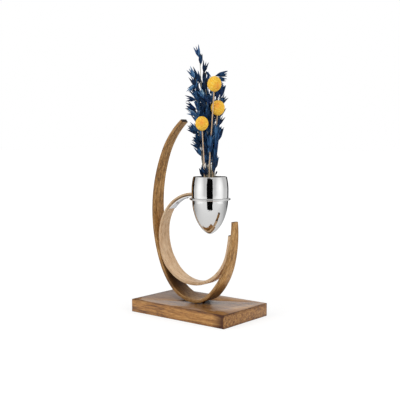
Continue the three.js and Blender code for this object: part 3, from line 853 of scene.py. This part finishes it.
def near_ends(distances, length, start_corner, end_corner):
    """Adds the stations that a rounded corner needs at each end."""
    extra = [share * start_corner for share in CORNER_SHARES if start_corner]
    extra += [length - share * end_corner for share in CORNER_SHARES]
    inside = [d for d in distances if start_corner < d < length - end_corner or d in (0, length)]
    return sorted(inside + extra)


# %% [markdown]
# The outer strip is widest at its foot and tapers to both ends, whose corners are
# taken off a little. Its underside is planed flat where it stands on the board.

# %% Outer strip
OUTER_TIP_WIDTH = 15.5
OUTER_FOOT_WIDTH = 37
OUTER_END_WIDTH = 12
OUTER_TIP_CORNER = 1.6
STRIP_END_CORNER = 1.2


def arm_stations(arm, side, end_width, corner):
    """Stations of one arm from the foot out. Distances on the left side are negative."""
    found = []
    for distance in near_ends(arm.distances(), arm.length, 0, corner):
        width = eased(OUTER_FOOT_WIDTH, end_width, distance / arm.length)
        width -= 2 * corner_inset(arm.length - distance, corner)
        found.append((side * distance, *arm.at(distance), width))
    return found


left_stations = arm_stations(left_arm, -1, OUTER_TIP_WIDTH, OUTER_TIP_CORNER)
right_stations = arm_stations(right_arm, 1, OUTER_END_WIDTH, STRIP_END_CORNER)
outer_stations = left_stations[::-1] + right_stations[1:]
bm = bent_lath(outer_stations, -OUTER_THICKNESS / 2, OUTER_THICKNESS / 2, LATH_EASE)
ground = board_high.z + FIT_GAP
bmesh.ops.bisect_plane(
    bm, geom=bm.verts[:] + bm.edges[:] + bm.faces[:], dist=0.0001,
    plane_co=(0, 0, ground), plane_no=(0, 0, -1), clear_outer=True)
close_ends(bm, 0)
finished("outer_bent_strip", bm, "stand", [outer_oak, end_oak], ["outer_strip"])

# %% [markdown]
# The inner strip is paler. It starts inside the short arm, touches the tall one, and
# ends level above the ring.

# %% Inner strip
GLUE_STEPS = 6
inner_distances = [inner_loop.length - d for d in inner_loop.distances()]
inner_distances += [inner_loop.length + INNER_GLUE_LENGTH * (i + 1) / GLUE_STEPS for i in range(GLUE_STEPS)]
inner_stations = []
for distance in near_ends(sorted(inner_distances), inner_length, STRIP_END_CORNER, STRIP_END_CORNER):
    width = inner_width(distance)
    width -= 2 * corner_inset(min(distance, inner_length - distance), STRIP_END_CORNER)
    inner_stations.append((distance, *inner_at(distance), width))
bm = bent_lath(inner_stations, -INNER_THICKNESS / 2, INNER_THICKNESS / 2, LATH_EASE)
finished("inner_bent_strip", bm, "stand", [inner_oak, end_oak], ["inner_strip"])

# %% [markdown]
# A polished strap under the crown carries the ring. It is bent like the strip and as
# thin as sheet metal. The screws keep the solid's shape.

# %% Strap and screws
STRAP_LENGTH = 60
STRAP_THICKNESS = 1.5
STRAP_MARGIN = 0.8
STRAP_EASE = 0.3
STRAP_STEPS = 30
strap_outside = -INNER_THICKNESS / 2 - FIT_GAP
strap_stations = []
for i in range(STRAP_STEPS + 1):
    distance = STRAP_LENGTH * i / STRAP_STEPS
    strap_stations.append((distance, *inner_at(distance), inner_width(distance) - 2 * STRAP_MARGIN))
bm = bent_lath(strap_stations, strap_outside - STRAP_THICKNESS, strap_outside, STRAP_EASE)
finished("strap", bm, "stand", [strap_metal, strap_metal], ["ring_strap"])

for node in ("board_screw_front", "board_screw_back", "strap_screw_lower", "strap_screw_upper"):
    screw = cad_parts[node]
    screw.data.materials.clear()
    screw.data.materials.append(screw_metal)

# %% [markdown]
# The ring is a round wire, and the pot a turned shell. Below its widest place the pot
# narrows as a blunt egg, and above it as a shallow arc. The lip is rounded over.

# %% Ring
WIRE_SEGMENTS = 24
ROUND_SEGMENTS = 144
wire_radius = (ring_high.z - ring_low.z) / 2
ring_radius = (ring_high.y - ring_low.y) / 2 - wire_radius
ring_z = (ring_high.z + ring_low.z) / 2
turn = [2 * math.pi * i / WIRE_SEGMENTS for i in range(WIRE_SEGMENTS + 1)]
bm = bmesh.new()
spun(bm, [(ring_radius + wire_radius * math.cos(a), wire_radius * math.sin(a)) for a in turn],
     Vector((pot_axis_x, 0, ring_z)), ROUND_SEGMENTS)
finished("ring", bm, "stand", [mirror_metal], ["pot_ring"])

# %% Pot
POT_BELLY_DROP = 23
POT_RIM_RADIUS = 28.2
POT_WALL = 1.4
POT_BLUNTNESS = 2.5
POT_TAPER = 0.64
EGG_STEPS = 64
NECK_STEPS = 16
LIP_STEPS = 8
belly_radius = (pot_high.y - pot_low.y) / 2
belly_depth = rim_z - POT_BELLY_DROP - pot_low.z


def egg_radius(drop, radius, depth):
    return radius * (1 - (drop / depth) ** POT_BLUNTNESS) ** POT_TAPER


def egg_drop(reach, radius, depth):
    return depth * (1 - (reach / radius) ** (1 / POT_TAPER)) ** (1 / POT_BLUNTNESS)


def neck_radius(rise, radius, rim_radius):
    fall = radius - rim_radius
    arc = (POT_BELLY_DROP ** 2 + fall ** 2) / (2 * fall)
    return radius - arc + math.sqrt(arc ** 2 - rise ** 2)


def wall(radius, depth, rim_radius):
    """One side of the pot's wall up to the lip, with heights from the rim."""
    points = []
    for i in range(EGG_STEPS + 1):
        drop = depth * math.cos(math.pi / 2 * i / EGG_STEPS)
        points.append((egg_radius(drop, radius, depth) if i else 0, -POT_BELLY_DROP - drop))
    for i in range(1, NECK_STEPS + 1):
        rise = (POT_BELLY_DROP - POT_WALL / 2) * i / NECK_STEPS
        points.append((neck_radius(rise, radius, rim_radius), rise - POT_BELLY_DROP))
    return points


outside = wall(belly_radius, belly_depth, POT_RIM_RADIUS)
inside = wall(belly_radius - POT_WALL, belly_depth - POT_WALL, POT_RIM_RADIUS - POT_WALL)
lip_middle = (outside[-1][0] + inside[-1][0]) / 2
lip_half = (outside[-1][0] - inside[-1][0]) / 2
lip = []
for i in range(1, LIP_STEPS):
    angle = math.pi * i / LIP_STEPS
    lip.append((lip_middle + lip_half * math.cos(angle), POT_WALL / 2 * math.sin(angle) - POT_WALL / 2))
bm = bmesh.new()
spun(bm, outside + lip + inside[::-1], Vector((pot_axis_x, 0, rim_z)), ROUND_SEGMENTS)
finished("metal_pot", bm, "vessel", [mirror_metal], ["pot"])

# %% [markdown]
# Stems lean out of the pot from feet on its inner wall. Places in the bunch are
# right, back and up from the middle of the rim, and the whole is turned to face the
# camera. A stem follows a smooth curve through foot, rim and top, in two Bezier
# stretches whose handles come from the neighbouring points.

# %% Stems
BUNCH_TURN = 39
bunch_place = Matrix.Translation((pot_axis_x, 0, rim_z)) @ Matrix.Rotation(math.radians(BUNCH_TURN), 4, "Z")


def finished_flower(name, bm, materials, nodes):
    """Puts a piece of the bunch over the pot and finishes it."""
    bmesh.ops.transform(bm, matrix=bunch_place, verts=bm.verts)
    finished(name, bm, "bunch", materials, nodes)


def foot_on(right, reach_back, radius):
    """Where a stem's foot meets the inside of the wall."""
    reach = math.hypot(right, reach_back) + radius
    drop = egg_drop(reach, belly_radius - POT_WALL, belly_depth - POT_WALL)
    return Vector((right, reach_back, FIT_GAP - POT_BELLY_DROP - drop))


def stretch(points, steps):
    """A centripetal curve from the second to the third of four points."""
    gaps = [math.sqrt((b - a).length) for a, b in zip(points, points[1:])]
    first, start, end, last = points
    leave = ((start - first) / gaps[0] - (end - first) / (gaps[0] + gaps[1]) + (end - start) / gaps[1])
    arrive = ((end - start) / gaps[1] - (last - start) / (gaps[1] + gaps[2]) + (last - end) / gaps[2])
    return interpolate_bezier(
        start, start + leave * gaps[1] / 3, end - arrive * gaps[1] / 3, end, steps + 1)


def stem_line(stem_foot, rim, top, radius, steps):
    foot_point = foot_on(*stem_foot, radius)
    rim_point = Vector((*rim, 0))
    before = 2 * foot_point - rim_point
    after = 2 * top - rim_point
    low = stretch([before, foot_point, rim_point, top], steps)
    high = stretch([foot_point, rim_point, top, after], steps)
    return low + high[1:]


def point_at(line, height):
    for low, high in zip(line, line[1:]):
        if low.z <= height <= high.z:
            return low.lerp(high, (height - low.z) / (high.z - low.z))
    return line[-1]


def add_tube(bm, line, radii, sides, material_index=0):
    """Sweeps a circle along a line, with its own radius at each point."""
    ring = bmesh.ops.create_circle(bm, cap_ends=False, radius=1, segments=sides)["verts"]
    edges = list({edge for vert in ring for edge in vert.link_edges})
    places = []
    for i, point in enumerate(line):
        along = line[min(i + 1, len(line) - 1)] - line[max(i - 1, 0)]
        turn = along.to_track_quat("Z", "Y").to_matrix().to_4x4()
        scale = Matrix.Diagonal((radii[i], radii[i], 1, 1))
        places.append(Matrix.Translation(point) @ turn @ scale)
    rings = swept(bm, edges, places)
    for end in (set(rings[0]), set(rings[-1])):
        rim = {edge for vert in end for edge in vert.link_edges if end.issuperset(edge.verts)}
        bmesh.ops.contextual_create(bm, geom=list(rim))
    for face in {face for ring in rings for vert in ring for face in vert.link_faces}:
        face.material_index = material_index


# %% [markdown]
# A globe flower is a ball of tight florets, set in the spiral that packs them evenly.
# A fine sphere is pulled in by the distance to the nearest floret, and an attribute
# keeps that distance to paint shade into the gaps. Another paints shade over one side.

# %% Globe flowers
GLOBE_STEM_RADIUS = 1.1
GLOBE_STEM_STEPS = 16
GLOBE_STEM_SIDES = 12
GLOBE_SOCKET_DEPTH = 4
GLOBE_STRETCH = 1.1
FLORETS = 420
FLORET_DEPTH = 0.75
FLORET_SEED = 3
SHADE_PATCH_REACH = 0.75
GLOBE_DETAIL = 5
GOLDEN_ANGLE = math.pi * (3 - math.sqrt(5))

# Name, places of foot, rim and head, radius, and the bearing and rise of its patch of painted shade
GLOBES = [
    ("high", (0, -5), (-1.6, -10), (6.6, -22, 151.1), 11.6, (300, -20)),
    ("middle", (4.5, -3), (4, -6), (12.5, -8, 113.1), 11.6, (262, 20)),
    ("low", (-6, -4), (-9, -8.5), (-13.6, -22, 87.3), 10.8, (268, 8)),
]


def floret_tree():
    """Evenly spread directions, for finding the floret nearest to a point."""
    tree = KDTree(FLORETS)
    for i in range(FLORETS):
        height = 1 - 2 * (i + 0.5) / FLORETS
        ring = math.sqrt(1 - height * height)
        tree.insert((ring * math.cos(GOLDEN_ANGLE * i), ring * math.sin(GOLDEN_ANGLE * i), height), i)
    tree.balance()
    return tree


floret_places = floret_tree()
floret_reach = math.sqrt(4 * math.pi / FLORETS) * 0.62


def add_globe(bm, layers, centre, axis, radius, shade_patch, pick):
    """A ball of florets, a little taller along its axis, whose tops just reach the radius."""
    tones = [pick.random() for _ in range(FLORETS)]
    for vert in bmesh.ops.create_icosphere(bm, subdivisions=GLOBE_DETAIL, radius=1)["verts"]:
        outward = vert.co.normalized()
        _, floret, away = floret_places.find(outward)
        share = min(away / floret_reach, 1)
        vert[layers["gap"]] = share ** 3
        vert[layers["tone"]] = tones[floret]
        # Painted shade: a darker orange patch round one direction on the head, mottled by the florets' tones.
        vert[layers["shade_patch"]] = max(0, 1 - outward.angle(shade_patch) / SHADE_PATCH_REACH) * (0.4 + 0.6 * tones[-floret])
        round_place = outward * (radius - FLORET_DEPTH * share * share)
        vert.co = centre + round_place + axis * (GLOBE_STRETCH - 1) * round_place.dot(axis)


for name, stem_foot, rim, head, radius, shade_patch in GLOBES:
    centre = Vector(head)
    axis = (centre - Vector((*rim, 0))).normalized()
    stem_top = centre + axis * (GLOBE_SOCKET_DEPTH - radius * GLOBE_STRETCH)
    line = stem_line(stem_foot, rim, stem_top, GLOBE_STEM_RADIUS, GLOBE_STEM_STEPS)
    radii = [GLOBE_STEM_RADIUS * eased(1, 0.85, i / len(line)) for i in range(len(line))]
    bm = bmesh.new()
    add_tube(bm, line, radii, GLOBE_STEM_SIDES)
    finished_flower(f"globe_straw_{name}", bm, [globe_straw], [f"globe_stem_{name}"])
    bm = bmesh.new()
    layers = {layer: bm.verts.layers.float.new(layer) for layer in ("gap", "tone", "shade_patch")}
    add_globe(bm, layers, centre, axis, radius, direction(*shade_patch), random.Random(FLORET_SEED))
    finished_flower(f"globe_{name}", bm, [globe_yellow], [f"globe_head_{name}"])

# %% [markdown]
# An oat stalk carries spikelets on short side stalks. Each is two long papery husks
# that gape, with a slimmer seed between them. The main ones stand where the solid has
# them. Smaller ones fill the gaps, in the spiral in which leaves grow, and some
# sprays are placed one by one.

# %% Oat husks
HUSK_LENGTH = 22
HUSK_WIDTH = 6.0
HUSK_THICKNESS = 4.4
HUSK_SPLAY = 13
SPRAY_SPLAY = 8
HUSK_WIDEST = 0.36
HUSK_BEND = 1.4
HUSK_BASE_POWER = 0.7
HUSK_TIP_POWER = 0.78
SHORTER_SHARE = 0.9
SEED_SHARE = 0.8
PEDICEL_LENGTH = 4
PEDICEL_RADIUS = 0.4
PEDICEL_SIDES = 5
PEDICEL_UPRIGHT = 70
SPRAY_DROP = 10


def add_husk(bm, tone, shade, bud, bearing, rise, length, share_of_size):
    """A boat-shaped husk with a sharp tip, bent a little outwards."""
    width, thickness = HUSK_WIDTH * share_of_size, HUSK_THICKNESS * share_of_size
    along = direction(bearing, rise)
    side = direction(bearing + 90, 0)
    lift = side.cross(along)
    for vert in bmesh.ops.create_uvsphere(bm, u_segments=8, v_segments=7, radius=1)["verts"]:
        share = (1 - vert.co.z) / 2
        to_base, to_tip = share / HUSK_WIDEST, (1 - share) / (1 - HUSK_WIDEST)
        body = min(to_base ** HUSK_BASE_POWER, max(to_tip, 0) ** HUSK_TIP_POWER)
        round_off = max(math.hypot(vert.co.x, vert.co.y), 1e-6)
        x = vert.co.x / round_off * body
        y = vert.co.y / round_off * body
        bend = HUSK_BEND * (share * share - share)
        vert.co = (bud + along * (share * length) + side * (y * width / 2)
                   + lift * (x * thickness / 2 + bend))
        vert[tone] = shade


def add_blades(bm, tone, bud, bearing, rise, splay, length, shade):
    """Two husks that gape, with a seed between them."""
    size = length / HUSK_LENGTH
    add_husk(bm, tone, shade, bud, bearing, rise + splay, length, size)
    shorter = SHORTER_SHARE * length
    add_husk(bm, tone, shade * 0.7, bud, bearing, rise - splay, shorter, size)
    add_husk(bm, tone, 0.2 + shade * 0.6, bud, bearing + 6, rise, shorter, SEED_SHARE * size)


def add_spikelet(bm, tone, line, height, bearing, rise, size, pick):
    """A spikelet at a height, on a short side stalk that leaves the same way."""
    node = point_at(line, height)
    outward = direction(bearing, (rise + PEDICEL_UPRIGHT) / 2)
    bud = node + outward * PEDICEL_LENGTH * size
    add_tube(bm, [node, bud + outward], [PEDICEL_RADIUS] * 2, PEDICEL_SIDES, 1)
    add_blades(bm, tone, bud, bearing, rise, HUSK_SPLAY, HUSK_LENGTH * size, pick.random())


def add_spray(bm, tone, line, bud, tip, shade):
    """A spikelet given by where it starts and ends, on as long a side stalk as it needs."""
    span = tip - bud
    bearing = math.degrees(math.atan2(span.y, span.x))
    rise = math.degrees(math.asin(span.z / span.length))
    leave = point_at(line, bud.z - SPRAY_DROP)
    add_tube(bm, [leave, bud + span.normalized()], [PEDICEL_RADIUS] * 2, PEDICEL_SIDES, 1)
    add_blades(bm, tone, bud, bearing, rise, SPRAY_SPLAY, span.length, shade)


# %% Oat stalks
OAT_STEM_RADIUS = 0.9
SHEATH_RADIUS = 1.5
SHEATH_TOP = 34
FILL_GAP = 6
FILL_TURN = 137.5
FILL_RISE = 77
FILL_SIZE = 0.85
FILL_TO = 13
FILL_SEED = 1687
OAT_STEM_STEPS = 14
OAT_STEM_SIDES = 8

# Name, places of foot, rim and top, the heights between which it is filled, and its
# spikelets: how far below the top each one leaves, its bearing and its rise
OATS = [
    ("tall", (-3, 1), (-6, 1), (-17, 2, 192), 128, FILL_TO, [
        (0, 180, 74), (12, 60, 85), (38, 172, -40), (42, 180, 66), (56, 20, 62), (66, 160, 55)]),
    ("crest", (-1, 4.5), (-3, 6), (-11.5, 6, 167), 120, FILL_TO, [
        (0, 0, 78), (16, 60, 80), (30, 200, 78), (45, 150, 74), (61, 100, 66), (79, 170, 58)]),
    ("left", (-7, 0.5), (-11, -1), (-23.5, 0, 158), 140, 42, [
        (0, 205, 54), (14, 178, 66), (34, 210, 5), (50, 186, 18), (60, 205, 20), (74, 170, 60),
        (87, 200, 33), (102, 235, 32), (117, 180, 44), (128, 180, 62), (163, 232, 68)]),
    ("outer_right", (6, 1), (6.5, 3), (17, 8, 130), 112, 50, [
        (0, 20, 78), (18, 340, 72), (36, 350, 66), (52, 50, 70), (68, 350, 68), (88, 60, 78),
        (122, 45, 74)]),
    ("right", (2.2, 1.6), (3, 4), (6, 4, 164), 124, 36, [
        (0, 350, 8), (7, 35, -14), (20, 60, 50), (36, 38, 56), (52, 90, 50), (70, 30, 60)]),
    ("middle", (0.5, -1.5), (-1, -2), (-7, -8, 140), 118, FILL_TO, [
        (0, 250, 78), (16, 190, 55), (32, 220, 50), (50, 282, 60), (68, 200, 50), (86, 330, 62),
        (100, 308, 62), (112, 200, 62), (62, 325, 50), (78, 330, 46), (92, 322, 46), (104, 330, 50),
        (114, 318, 60), (96, 290, 56), (108, 284, 60)]),
    ("back", (1, 7), (1, 11), (-3, 24, 150), 124, FILL_TO, [
        (0, 90, 72), (16, 20, 50), (32, 150, 45), (50, 60, 50), (68, 120, 45), (90, 80, 55)]),
    ("back_left", (-5, 5), (-8.5, 7), (-21, 14, 140), 128, FILL_TO, [
        (0, 160, 74), (14, 190, 56), (30, 120, 50), (48, 180, 50), (68, 140, 55), (90, 170, 64)]),
    ("back_right", (5, 5), (6.5, 8), (16, 18, 130), 112, 50, [
        (0, 40, 74), (16, 350, 56), (32, 60, 50), (50, 10, 64), (68, 50, 60), (88, 60, 76)]),
]

# Right and up where a spray starts, right and up where it ends, how far back, and tone
SPRAYS = {
    "crest": [
        (-7, 174, 1, 162, 6, 0.3), (-7.5, 140, -10, 164, 4, 0.1), (-6.5, 125, -8.5, 150, 4, 0.2),
    ],
    "left": [
        (-24, 152, -37.5, 138, 0, 0.9), (-17.5, 155, -32, 180, 4, 0.2), (-26.5, 112, -38, 123, 0, 0.2),
        (-23, 106, -41, 114, 0, 0.2), (-18, 69, -40, 82, -3, 0.1), (-20, 76, -35, 88, -3, 0.2),
        (-15, 53, -31.5, 64, -5, 0.15), (-6, 2, -15.5, 15.5, -11, 0.05), (-4.5, 3, -8.5, 20, -12, 0.1),
    ],
    "right": [
        (9, 166, 30, 170, -3, 0.4), (12, 163, 28, 158, -1, 0.4), (10.5, 126, 15, 146, 2, 0.3),
    ],
    "middle": [
        (-1, 44, -2, 71, -18, 0.5), (0.5, 39, 1.5, 63, -18, 0.3), (10, 56, 12, 81, -13, 0.5),
        (8.5, 41, 11.5, 65, -13, 0.4), (9.5, 66, 11, 88, -13, 0.7), (8, 33, 10.5, 57, -13, 0.6),
        (7.5, 26, 9.5, 51, -12, 0.3), (6.5, 15, 8, 38, -11, 0.2), (6, 6, 7, 26, -10, 0.2),
    ],
    "outer_right": [
        (17.5, 130, 24, 154, 2, 0.3), (14, 135, 19, 156, 4, 0.2), (14.5, 60, 20.5, 82, 6, 0.5),
        (20, 118, 26, 132, 6, 0.4), (9, 22, 15, 35, 4, 0.5), (9, 2, 12.5, 10, 2, 0.1),
    ],
}
pick = random.Random(FILL_SEED)

for name, stem_foot, rim, top, fill_from, fill_to, spikelets in OATS:
    line = stem_line(stem_foot, rim, Vector(top), OAT_STEM_RADIUS, OAT_STEM_STEPS)
    bm = bmesh.new()
    tone = bm.verts.layers.float.new("tone")
    radii = [eased(SHEATH_RADIUS if i else OAT_STEM_RADIUS, 0.6 * OAT_STEM_RADIUS, point.z / SHEATH_TOP)
             for i, point in enumerate(line)]
    add_tube(bm, line, radii, OAT_STEM_SIDES, 1)
    for drop, bearing, rise in spikelets:
        add_spikelet(bm, tone, line, top[2] - drop, bearing, rise, 1, pick)
    for right, up, tip_right, tip_up, back, shade in SPRAYS.get(name, []):
        add_spray(bm, tone, line, Vector((right, back, up)), Vector((tip_right, back, tip_up)), shade)
    height, bearing = fill_from, pick.uniform(0, 360)
    while height > fill_to:
        add_spikelet(bm, tone, line, height, bearing, FILL_RISE + pick.uniform(-8, 8), FILL_SIZE, pick)
        height -= FILL_GAP
        bearing += FILL_TURN
    finished_flower(f"oats_{name}", bm, [dyed_blue, oat_straw], [f"oat_stalk_{name}"])
